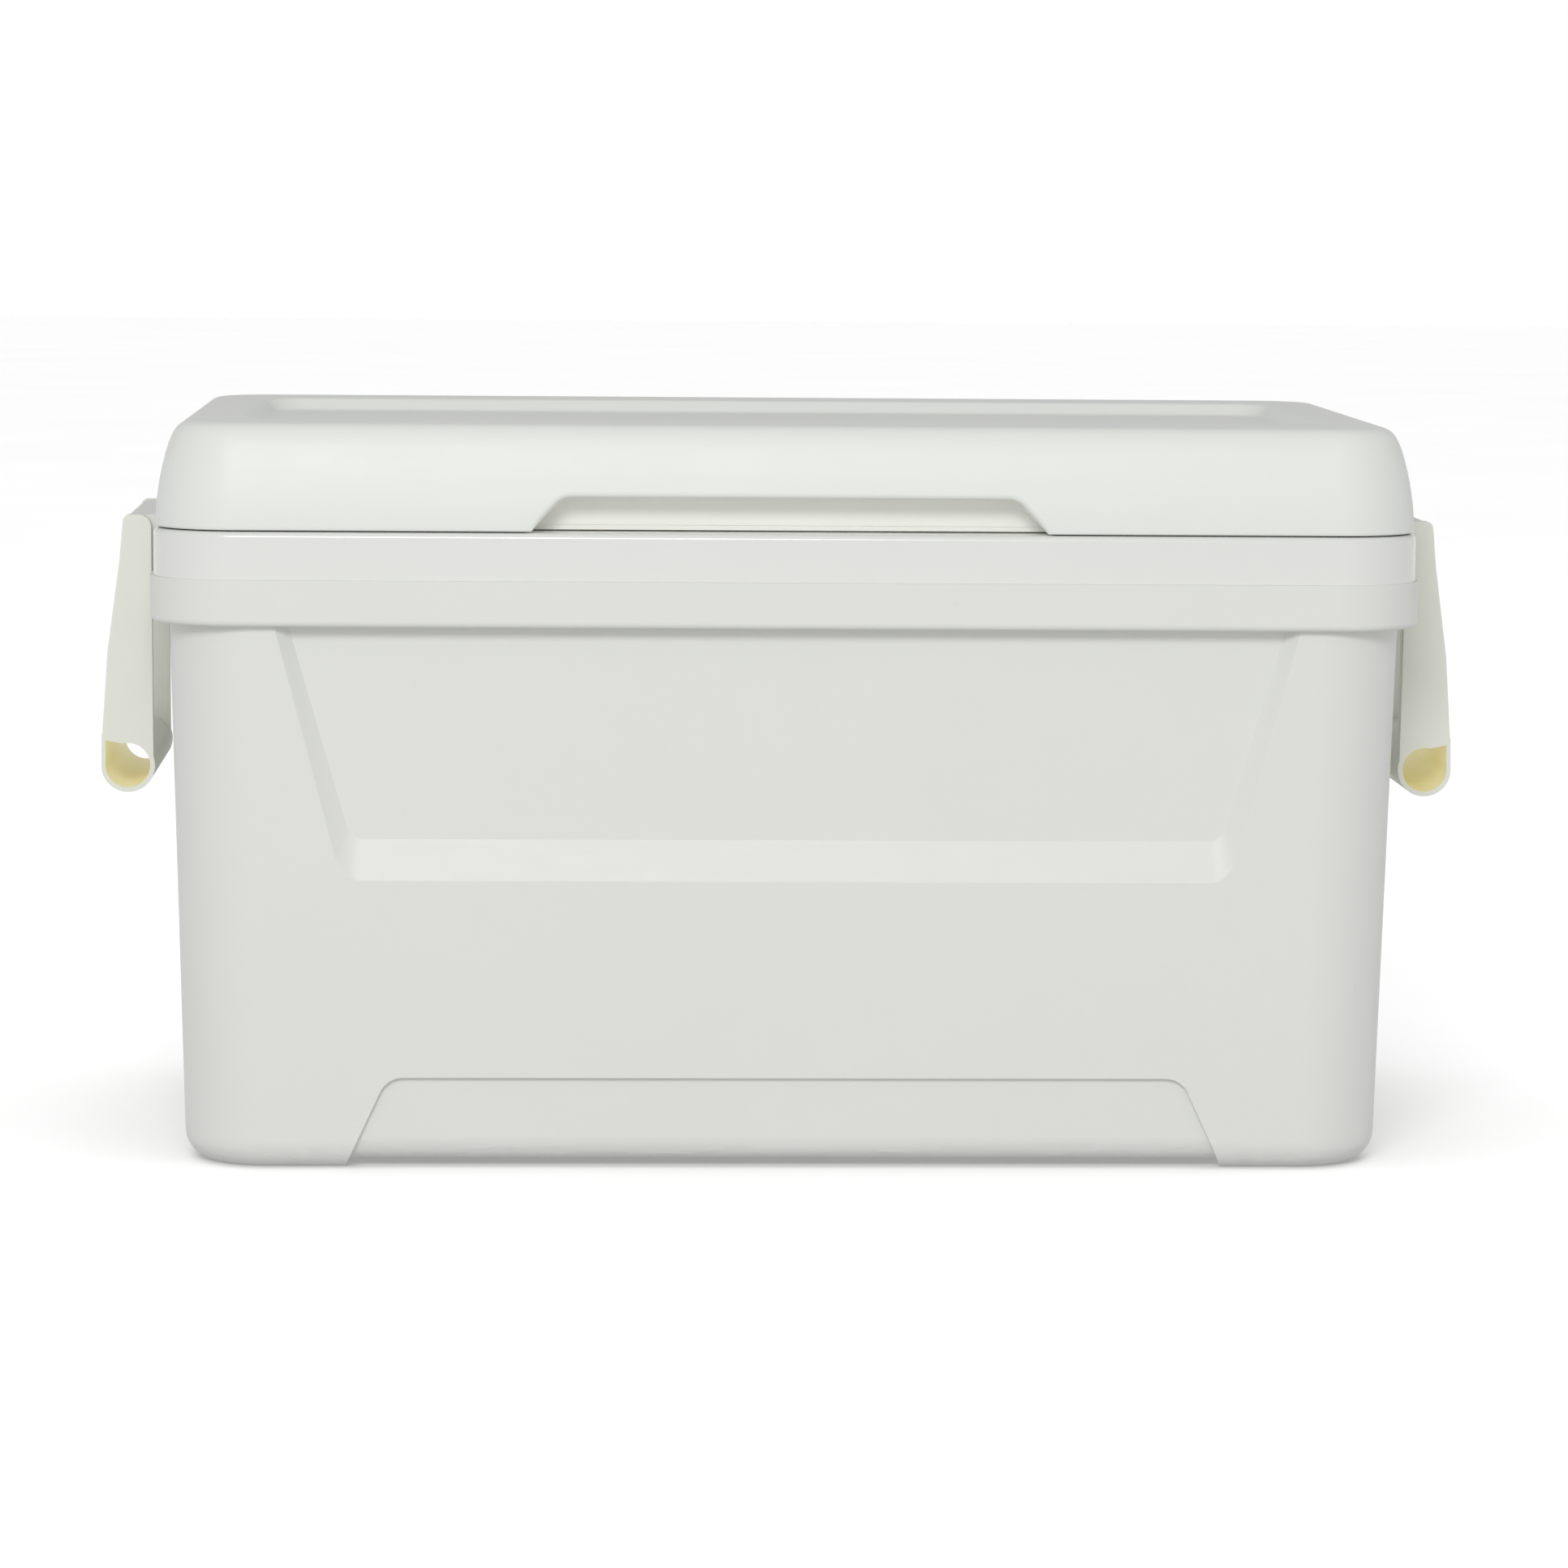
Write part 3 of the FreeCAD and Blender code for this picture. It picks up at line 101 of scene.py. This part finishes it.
def stretched(nt, vec, scale):
    mp = nt.nodes.new("ShaderNodeMapping")
    mp.inputs["Scale"].default_value = scale
    nt.links.new(vec, mp.inputs["Vector"])
    return mp.outputs["Vector"]


def ramp(nt, fac, stops):
    r = nt.nodes.new("ShaderNodeValToRGB")
    e = r.color_ramp.elements
    e[0].position, e[0].color = stops[0][0], (*stops[0][1], 1)
    e[1].position, e[1].color = stops[-1][0], (*stops[-1][1], 1)
    for p, c in stops[1:-1]:
        x = e.new(p)
        x.color = (*c, 1)
    nt.links.new(fac, r.inputs["Fac"])
    return r.outputs["Color"]


def fit(nt, fac, lo, hi, a=0.3, b=0.7):
    mr = nt.nodes.new("ShaderNodeMapRange")
    mr.inputs["From Min"].default_value = a
    mr.inputs["From Max"].default_value = b
    mr.inputs["To Min"].default_value = lo
    mr.inputs["To Max"].default_value = hi
    nt.links.new(fac, mr.inputs["Value"])
    return mr.outputs["Result"]


def math_node(nt, op, a, b):
    k = nt.nodes.new("ShaderNodeMath")
    k.operation = op
    for i, v in enumerate((a, b)):
        if isinstance(v, (int, float)):
            k.inputs[i].default_value = v
        else:
            nt.links.new(v, k.inputs[i])
    return k.outputs[0]


def bump(nt, bsdf, height, strength, distance):
    b = nt.nodes.new("ShaderNodeBump")
    b.inputs["Strength"].default_value = strength
    b.inputs["Distance"].default_value = distance
    nt.links.new(height, b.inputs["Height"])
    nt.links.new(b.outputs["Normal"], bsdf.inputs["Normal"])
    return b


def plastic(name, base, dark, rough, grain=0.00006, sss=0.0, coat=0.0, grain_scale=1400.0, speck=True):
    """Moulded polyolefin: faint flow mottling, a fine moulded grain, patchy polish, a few specks and rubs."""
    mat, nt, bsdf, co = nodes_of(name)
    big = noise(nt, co, 5.0, 3.0)
    mid = noise(nt, co, 42.0, 5.0, 0.6)
    mix = math_node(nt, "ADD", math_node(nt, "MULTIPLY", big, 0.6), math_node(nt, "MULTIPLY", mid, 0.4))
    col = ramp(nt, mix, [(0.36, dark), (0.62, base)])
    if speck:
        v = nt.nodes.new("ShaderNodeTexVoronoi")
        v.inputs["Scale"].default_value = 34.0
        nt.links.new(co, v.inputs["Vector"])
        sp_ = fit(nt, v.outputs["Distance"], 1.0, 0.0, 0.012, 0.03)
        gate = fit(nt, noise(nt, co, 7.0, 2.0), 0.0, 0.22, 0.52, 0.66)
        fac = math_node(nt, "MULTIPLY", sp_, gate)
        mx = nt.nodes.new("ShaderNodeMix")
        mx.data_type = "RGBA"
        nt.links.new(fac, mx.inputs["Factor"])
        nt.links.new(col, mx.inputs["A"])
        mx.inputs["B"].default_value = (0.42, 0.40, 0.34, 1)
        col = mx.outputs["Result"]
    nt.links.new(col, bsdf.inputs["Base Color"])
    scuff = noise(nt, stretched(nt, co, (14.0, 14.0, 160.0)), 1.6, 6.0, 0.7)
    nt.links.new(fit(nt, math_node(nt, "ADD", math_node(nt, "MULTIPLY", scuff, 0.5), math_node(nt, "MULTIPLY", mid, 0.5)), rough - 0.05, rough + 0.07), bsdf.inputs["Roughness"])
    bsdf.inputs["IOR"].default_value = 1.5
    if sss:
        bsdf.inputs["Subsurface Weight"].default_value = sss
        bsdf.inputs["Subsurface Radius"].default_value = (1.0, 0.85, 0.55)
        bsdf.inputs["Subsurface Scale"].default_value = 0.004
    if coat:
        bsdf.inputs["Coat Weight"].default_value = coat
        bsdf.inputs["Coat Roughness"].default_value = 0.12
    fine = noise(nt, co, grain_scale, 2.0, 0.5)
    wave = noise(nt, co, 9.0, 2.0, 0.4)
    h = math_node(nt, "ADD", math_node(nt, "MULTIPLY", fine, grain * 1000), math_node(nt, "MULTIPLY", wave, 0.22))
    bump(nt, bsdf, h, 0.5, 0.001)
    return mat


def foam_material(name):
    mat, nt, bsdf, co = nodes_of(name)
    v = nt.nodes.new("ShaderNodeTexVoronoi")
    v.inputs["Scale"].default_value = 420.0
    nt.links.new(co, v.inputs["Vector"])
    nt.links.new(ramp(nt, noise(nt, co, 26.0, 5.0), [(0.3, (0.66, 0.55, 0.30)), (0.7, (0.86, 0.79, 0.55))]), bsdf.inputs["Base Color"])
    nt.links.new(fit(nt, v.outputs["Distance"], 0.95, 0.75, 0.0, 0.8), bsdf.inputs["Roughness"])
    bump(nt, bsdf, v.outputs["Distance"], 0.7, 0.0008)
    return mat


def steel(name, base, rough, stretch=(30.0, 900.0, 900.0)):
    mat, nt, bsdf, co = nodes_of(name)
    bsdf.inputs["Metallic"].default_value = 1.0
    g = noise(nt, stretched(nt, co, stretch), 1.0, 4.0, 0.6)
    nt.links.new(ramp(nt, g, [(0.3, tuple(c * 0.78 for c in base)), (0.7, base)]), bsdf.inputs["Base Color"])
    nt.links.new(fit(nt, g, rough - 0.06, rough + 0.1), bsdf.inputs["Roughness"])
    bump(nt, bsdf, g, 0.25, 0.0001)
    return mat


M_SHELL = plastic("shell_plastic", (0.742, 0.750, 0.719), (0.732, 0.741, 0.708), 0.46)
M_LID = plastic("lid_plastic", (0.775, 0.789, 0.757), (0.765, 0.780, 0.746), 0.44)
M_LINER = plastic("liner_plastic", (0.752, 0.760, 0.731), (0.744, 0.752, 0.722), 0.20, grain=0.00001, coat=0.35, speck=False)
M_PANEL = plastic("panel_plastic", (0.800, 0.810, 0.780), (0.788, 0.798, 0.766), 0.34, grain=0.00002)
M_HANDLE = plastic("handle_plastic", (0.775, 0.785, 0.712), (0.762, 0.771, 0.694), 0.42, grain=0.00003, sss=0.2)
# painted light: the inside of the hollow grip gets a lighter, yellower copy of the handle plastic with a faint glow,
# standing in for light through the thin wall
M_BORE_PAINTED_GLOW = plastic("handle_bore_painted_glow", (0.880, 0.840, 0.610), (0.860, 0.815, 0.570), 0.38, grain=0.00002, sss=0.3, speck=False)
painted_glow = M_BORE_PAINTED_GLOW.node_tree.nodes["Principled BSDF"]     # painted glow: emission standing in for light that comes through the thin wall of the grip
painted_glow.inputs["Emission Color"].default_value = (1.0, 0.93, 0.52, 1)
painted_glow.inputs["Emission Strength"].default_value = 0.10
# painted light: a lighter copy of the lid plastic with a faint glow for the inside faces of the finger notch, lifting
# the shade under the lid's overhang
M_NOTCH_PAINTED_GLOW = plastic("notch_painted_glow", (0.800, 0.806, 0.766), (0.790, 0.795, 0.750), 0.44, speck=False)
painted_glow = M_NOTCH_PAINTED_GLOW.node_tree.nodes["Principled BSDF"]
painted_glow.inputs["Emission Color"].default_value = (1.0, 0.99, 0.93, 1)
painted_glow.inputs["Emission Strength"].default_value = 0.06
M_BRACKET = plastic("bracket_plastic", (0.752, 0.762, 0.728), (0.742, 0.752, 0.716), 0.44)
M_HINGE = plastic("hinge_plastic", (0.742, 0.750, 0.715), (0.730, 0.738, 0.702), 0.42)
M_FOAM = foam_material("foam")
M_ROD = steel("rod_steel", (0.62, 0.62, 0.61), 0.28)
M_SCREW = steel("screw_steel", (0.66, 0.66, 0.65), 0.32, (300.0, 300.0, 300.0))


def paint(obj, mat):
    if not obj.material_slots:
        obj.data.materials.append(mat)
    for s in obj.material_slots:
        s.material = mat


MAT = {}
for n in N:
    if n.startswith("handle_pivot") or n.startswith("hinge_pin"):
        MAT[n] = M_ROD
    elif "screws" in n:
        MAT[n] = M_SCREW
    elif "foam" in n:
        MAT[n] = M_FOAM
    elif n.startswith("handle_bracket"):
        MAT[n] = M_BRACKET
    elif n.startswith("handle"):
        MAT[n] = M_HANDLE
    elif n.startswith("hinge"):
        MAT[n] = M_HINGE
    elif n == "outer_shell":
        MAT[n] = M_SHELL
    elif n == "inner_liner":
        MAT[n] = M_LINER
    elif n == "lid_inner_panel":
        MAT[n] = M_PANEL
    else:
        MAT[n] = M_LID
for n, o in N.items():
    paint(o, MAT[n])


# ------------------------------------------------------------------ mesh helpers
def smooth_by_angle(me, angle):
    bm = bmesh.new()
    bm.from_mesh(me)
    for f in bm.faces:
        f.smooth = True
    for e in bm.edges:
        e.smooth = not (len(e.link_faces) == 2 and e.calc_face_angle(0.0) > angle)
    bm.to_mesh(me)
    bm.free()


def applied(obj):
    """Replace the object's mesh by its evaluated one and drop the modifiers."""
    dg = bpy.context.evaluated_depsgraph_get()
    me = bpy.data.meshes.new_from_object(obj.evaluated_get(dg))
    obj.modifiers.clear()
    obj.data = me
    return obj


def new_object(name, me, mat):
    o = bpy.data.objects.new(name, me)
    scene.collection.objects.link(o)
    paint(o, mat)
    return o


def eased(node, name, width, angle=28.0, segments=3, dissolve=1.2):
    """The CAD piece again, with its sharp edges rounded over in the mesh as moulding leaves them."""
    src = N[node]
    me = src.data.copy()
    bm = bmesh.new()
    bm.from_mesh(me)
    bmesh.ops.remove_doubles(bm, verts=bm.verts, dist=1e-6)
    bmesh.ops.dissolve_limit(bm, angle_limit=math.radians(dissolve), verts=bm.verts, edges=bm.edges, delimit=set())
    bm.to_mesh(me)
    bm.free()
    o = new_object(name, me, MAT[node])
    b = o.modifiers.new("round", "BEVEL")
    b.width = width
    b.segments = segments
    b.limit_method = "ANGLE"
    b.angle_limit = math.radians(angle)
    b.use_clamp_overlap = True
    b.harden_normals = False
    b.miter_outer = "MITER_ARC"
    applied(o)
    smooth_by_angle(o.data, math.radians(40))
    wn = o.modifiers.new("normals", "WEIGHTED_NORMAL")
    wn.keep_sharp = True
    applied(o)
    if node.startswith("handle_left") or node.startswith("handle_right"):
        o.data.materials.append(M_BORE_PAINTED_GLOW)
        sx = -1 if node.endswith("left") else 1
        for f in o.data.polygons:      # the inside of the hollow grip gets the painted glow material (lighter, yellower, faintly emitting)
            x, z = f.center.x * sx, f.center.z
            if abs(x - 0.3140) < 0.0120 and abs(z - 0.1805) < 0.0135 and abs(f.normal.y) < 0.3:
                if f.normal.x * sx * (x - 0.3140) + f.normal.z * (z - 0.1805) < 0.0:
                    f.material_index = 1
    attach(o, src["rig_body"])
    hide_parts(node)
    return o


def ring(w, dp, r, z, per_corner=20, nx=72, ny=40):
    """Points of a rounded rectangle, the same count at every size."""
    a, b = w / 2 - r, dp / 2 - r
    pts = []
    for cx, cy_, s, n_next, vert in ((a, -b, -90, ny, True), (a, b, 0, nx, False), (-a, b, 90, ny, True), (-a, -b, 180, nx, False)):
        for k in range(per_corner + 1):
            t = math.radians(s + 90.0 * k / per_corner)
            pts.append(Vector((cx + r * math.cos(t), cy_ + r * math.sin(t), z)))
        end = pts[-1]
        nxt = {0: Vector((a + r, b, z)), 1: Vector((-a, b + r, z)), 2: Vector((-a - r, -b, z)), 3: Vector((a, -b - r, z))}[len([0 for q in (-90, 0, 90, 180) if q < s])]
        for k in range(1, n_next):
            pts.append(end.lerp(nxt, k / n_next))
    return pts


def skin(name, rings, mat, cap=True):
    bm = bmesh.new()
    rows = [[bm.verts.new((p.x / 1000, p.y / 1000 + SHIFT, p.z / 1000)) for p in r_] for r_ in rings]
    n = len(rows[0])
    for a, b in zip(rows, rows[1:]):
        for i in range(n):
            bm.faces.new((a[i], a[(i + 1) % n], b[(i + 1) % n], b[i]))
    if cap:
        bm.faces.new(rows[0][::-1])
        bm.faces.new(rows[-1])
    bmesh.ops.recalc_face_normals(bm, faces=bm.faces)
    me = bpy.data.meshes.new(name)
    bm.to_mesh(me)
    bm.free()
    return new_object(name, me, mat)


# ------------------------------------------------------------------ lid
W0, D0, R0 = 590.6, 349.0, 38.0
profile = [(3.0, 302.15), (3.0, 300.3), (2.6, 299.95), (1.2, 299.9), (0.5, 300.05), (0.12, 300.45), (0.0, 301.2), (0.02, 303.0), (0.15, 306.0), (0.42, 309.5),
           (0.85, 313.5), (1.45, 318.0), (2.3, 323.0), (3.35, 328.0), (4.7, 333.5), (6.2, 338.5), (7.6, 342.0), (8.9, 344.4), (10.4, 346.3), (12.2, 347.7),
           (14.2, 348.6), (16.4, 349.0), (19.5, 349.0)]
rings = [ring(W0 - 2 * i, D0 - 2 * i, R0 - i * 0.72, z) for i, z in profile]
dish_profile = [(-1.6, 349.0), (-0.6, 348.93), (0.4, 348.6), (1.3, 347.9), (4.6, 344.4), (5.6, 343.55), (6.8, 343.1), (8.2, 343.0), (11.0, 343.0)]
rings += [ring(512 - 2 * i, 236 - 2 * i, 22 - i * 0.85, z) for i, z in dish_profile]
lid = skin("lid_cover", rings, M_LID)


def prism_y(name, outline, y0, y1):
    bm = bmesh.new()
    a = [bm.verts.new((x / 1000, y0 / 1000 + SHIFT, z / 1000)) for x, z in outline]
    b = [bm.verts.new((x / 1000, y1 / 1000 + SHIFT, z / 1000)) for x, z in outline]
    bm.faces.new(a)
    bm.faces.new(b[::-1])
    for i in range(len(a)):
        j = (i + 1) % len(a)
        bm.faces.new((a[j], a[i], b[i], b[j]))
    bmesh.ops.recalc_face_normals(bm, faces=bm.faces)
    me = bpy.data.meshes.new(name)
    bm.to_mesh(me)
    bm.free()
    return me


def rounded_outline(pts, radii, seg=10):
    out = []
    n = len(pts)
    for i, (p, r) in enumerate(zip(pts, radii)):
        p = Vector(p)
        a, b = Vector(pts[i - 1]), Vector(pts[(i + 1) % n])
        if r <= 0:
            out.append((p.x, p.y))
            continue
        u, v = (a - p).normalized(), (b - p).normalized()
        half = u.angle(v) / 2
        tl = r / math.tan(half)
        c = p + (u + v).normalized() * (r / math.sin(half))
        s, e = p + u * tl - c, p + v * tl - c
        a0 = math.atan2(s.y, s.x)
        da = (math.atan2(e.y, e.x) - a0 + math.pi) % (2 * math.pi) - math.pi
        for k in range(seg + 1):
            t = a0 + da * k / seg
            out.append((c.x + r * math.cos(t), c.y + r * math.sin(t)))
    return out


sl = (120.0 - 105.4) / (315.6 - 299.9)
notch_out = rounded_outline([(-120 - 20 * sl, 279.9), (120 + 20 * sl, 279.9), (105.4, 315.6), (-105.4, 315.6)], [0, 0, 10, 10])
cutter = bpy.data.objects.new("notch_cutter", prism_y("notch_cutter", notch_out, -154.5, -200.0))
scene.collection.objects.link(cutter)
bo = lid.modifiers.new("notch", "BOOLEAN")
bo.operation = "DIFFERENCE"
bo.solver = "EXACT"
bo.object = cutter
bpy.context.view_layer.update()
applied(lid)
bpy.data.objects.remove(cutter)
foot = [prism_y("notch_wall", [(-122.2, 299.95), (122.2, 299.95), (120.1, 302.25), (-120.1, 302.25)], -152.3, -154.5)]
for sx in (-1, 1):
    foot.append(prism_y("notch_side", [(sx * x, z) for x, z in ((119.95, 299.95), (117.86, 302.25), (120.1, 302.25), (122.2, 299.95))], -152.3, -173.0))
bm = bmesh.new()
bm.from_mesh(lid.data)


def on_front(e):
    return all(v.co.y - SHIFT < -0.1715 and 0.2998 < v.co.z < 0.3195 and abs(v.co.x) < 0.150 for v in e.verts)


spare = []          # mesh lines of the flat skirt that would stand in the way of a round edge
for e in bm.edges:
    if len(e.link_faces) == 2 and on_front(e) and e.calc_face_angle(9.0) < math.radians(6):
        p, q = e.verts[0].co, e.verts[1].co
        upright = abs(p.z - q.z) > abs(p.x - q.x)
        if upright or (p.z > 0.3168 and q.z > 0.3168):
            spare.append(e)
bmesh.ops.dissolve_edges(bm, edges=spare, use_verts=True)
edge = [e for e in bm.edges if len(e.link_faces) == 2 and e.calc_face_angle(0.0) > math.radians(50)
        and all(v.co.y - SHIFT < -0.1715 and 0.3008 < v.co.z < 0.3160 and abs(v.co.x) < 0.125 for v in e.verts)]
bmesh.ops.bevel(bm, geom=edge, offset=0.0030, segments=6, profile=0.5, affect="EDGES", clamp_overlap=False)
for part in foot:
    bm.from_mesh(part)
bm.to_mesh(lid.data)
bm.free()
smooth_by_angle(lid.data, math.radians(38))
wn = lid.modifiers.new("normals", "WEIGHTED_NORMAL")
wn.keep_sharp = True
applied(lid)
paint(lid, M_LID)
lid.data.materials.append(M_NOTCH_PAINTED_GLOW)
for f in lid.data.polygons:            # painted light: the inside faces of the finger notch get the lighter glowing copy, standing in for light let through by the thin walls and lifting the shade under the overhang
    c = f.center
    if c.z < 0.3161 and abs(c.x) < 0.1225 and -0.1748 < c.y - SHIFT < -0.1500 and c.z > 0.2995 and (c.y - SHIFT > -0.1715 or abs(f.normal.y) < 0.5):
        f.material_index = 1
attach(lid, "lid")
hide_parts("lid_shell")

# ------------------------------------------------------------------ the other moulded pieces
for side in ("left", "right"):
    eased("handle_" + side, "handle_bail_" + side, 0.0011, 35.0)
    eased("handle_bracket_" + side, "handle_mount_" + side, 0.0008, 30.0)
    eased("hinge_body_leaf_" + side, "hinge_lower_leaf_" + side, 0.0004, 35.0, 2)
    eased("hinge_lid_leaf_" + side, "hinge_upper_leaf_" + side, 0.0004, 35.0, 2)
eased("outer_shell", "chest_shell", 0.0012, 16.0)
eased("inner_liner", "liner", 0.0006, 30.0, 2)
eased("lid_inner_panel", "lid_liner", 0.0006, 30.0, 2)

# ------------------------------------------------------------------ floor and light
bm = bmesh.new()
bmesh.ops.create_grid(bm, x_segments=1, y_segments=1, size=14.0)
me = bpy.data.meshes.new("floor")
bm.to_mesh(me)
bm.free()
floor_mat, nt, bsdf, co = nodes_of("floor")
bsdf.inputs["Roughness"].default_value = 0.9
bsdf.inputs["Specular IOR Level"].default_value = 0.0
bsdf.inputs["Emission Color"].default_value = (1, 1, 1, 1)
nt.links.new(ramp(nt, noise(nt, co, 3.0), [(0.3, (0.93, 0.93, 0.93)), (0.7, (0.95, 0.95, 0.95))]), bsdf.inputs["Base Color"])
bsdf.inputs["Emission Strength"].default_value = 0.03
floor = new_object("floor", me, floor_mat)
floor.location.z = -0.0002
floor.visible_diffuse = False      # the pale floor throws no light back up at the object

world = bpy.data.worlds.new("studio")
world.use_nodes = True
wt = world.node_tree
wco = wt.nodes.new("ShaderNodeTexCoord")
sep = wt.nodes.new("ShaderNodeSeparateXYZ")
wt.links.new(wco.outputs["Generated"], sep.inputs[0])
up = fit(wt, sep.outputs["Z"], 0.0, 1.0, -1.0, 1.0)
sky = ramp(wt, up, [(0.0, (0.54, 0.54, 0.54)), (0.42, (0.54, 0.54, 0.54)), (0.435, (1.0, 1.0, 1.0)), (0.53, (1.0, 1.0, 1.0)), (0.60, (0.56, 0.56, 0.56)), (1.0, (0.52, 0.52, 0.52))])
wt.links.new(sky, wt.nodes["Background"].inputs["Color"])
wt.nodes["Background"].inputs["Strength"].default_value = 1.0
scene.world = world


def area(name, loc, target, size, power, color=(1, 1, 1)):
    d_ = bpy.data.lights.new(name, "AREA")
    d_.shape = "RECTANGLE"
    d_.size, d_.size_y = size
    d_.energy = power
    d_.color = color
    o = bpy.data.objects.new(name, d_)
    scene.collection.objects.link(o)
    o.location = loc
    o.rotation_euler = (Vector(target) - Vector(loc)).to_track_quat("-Z", "Y").to_euler()
    return o


sun = bpy.data.lights.new("floor_wash", "SUN")      # an even soft light from above, for the floor only
sun.energy = 1.45
sun.angle = 1.5
wash = bpy.data.objects.new("floor_wash", sun)
scene.collection.objects.link(wash)
only = bpy.data.collections.new("floor_only")
only.objects.link(floor)
wash.light_linking.receiver_collection = only
area("front_soft", (-0.55, -3.70, 2.10), (0, 0, 0.2), (1.6, 1.0), 66.0)

scene.view_settings.view_transform = "Standard"
scene.view_settings.look = "None"
scene.view_settings.exposure = 0.0
scene.view_settings.gamma = 1.0
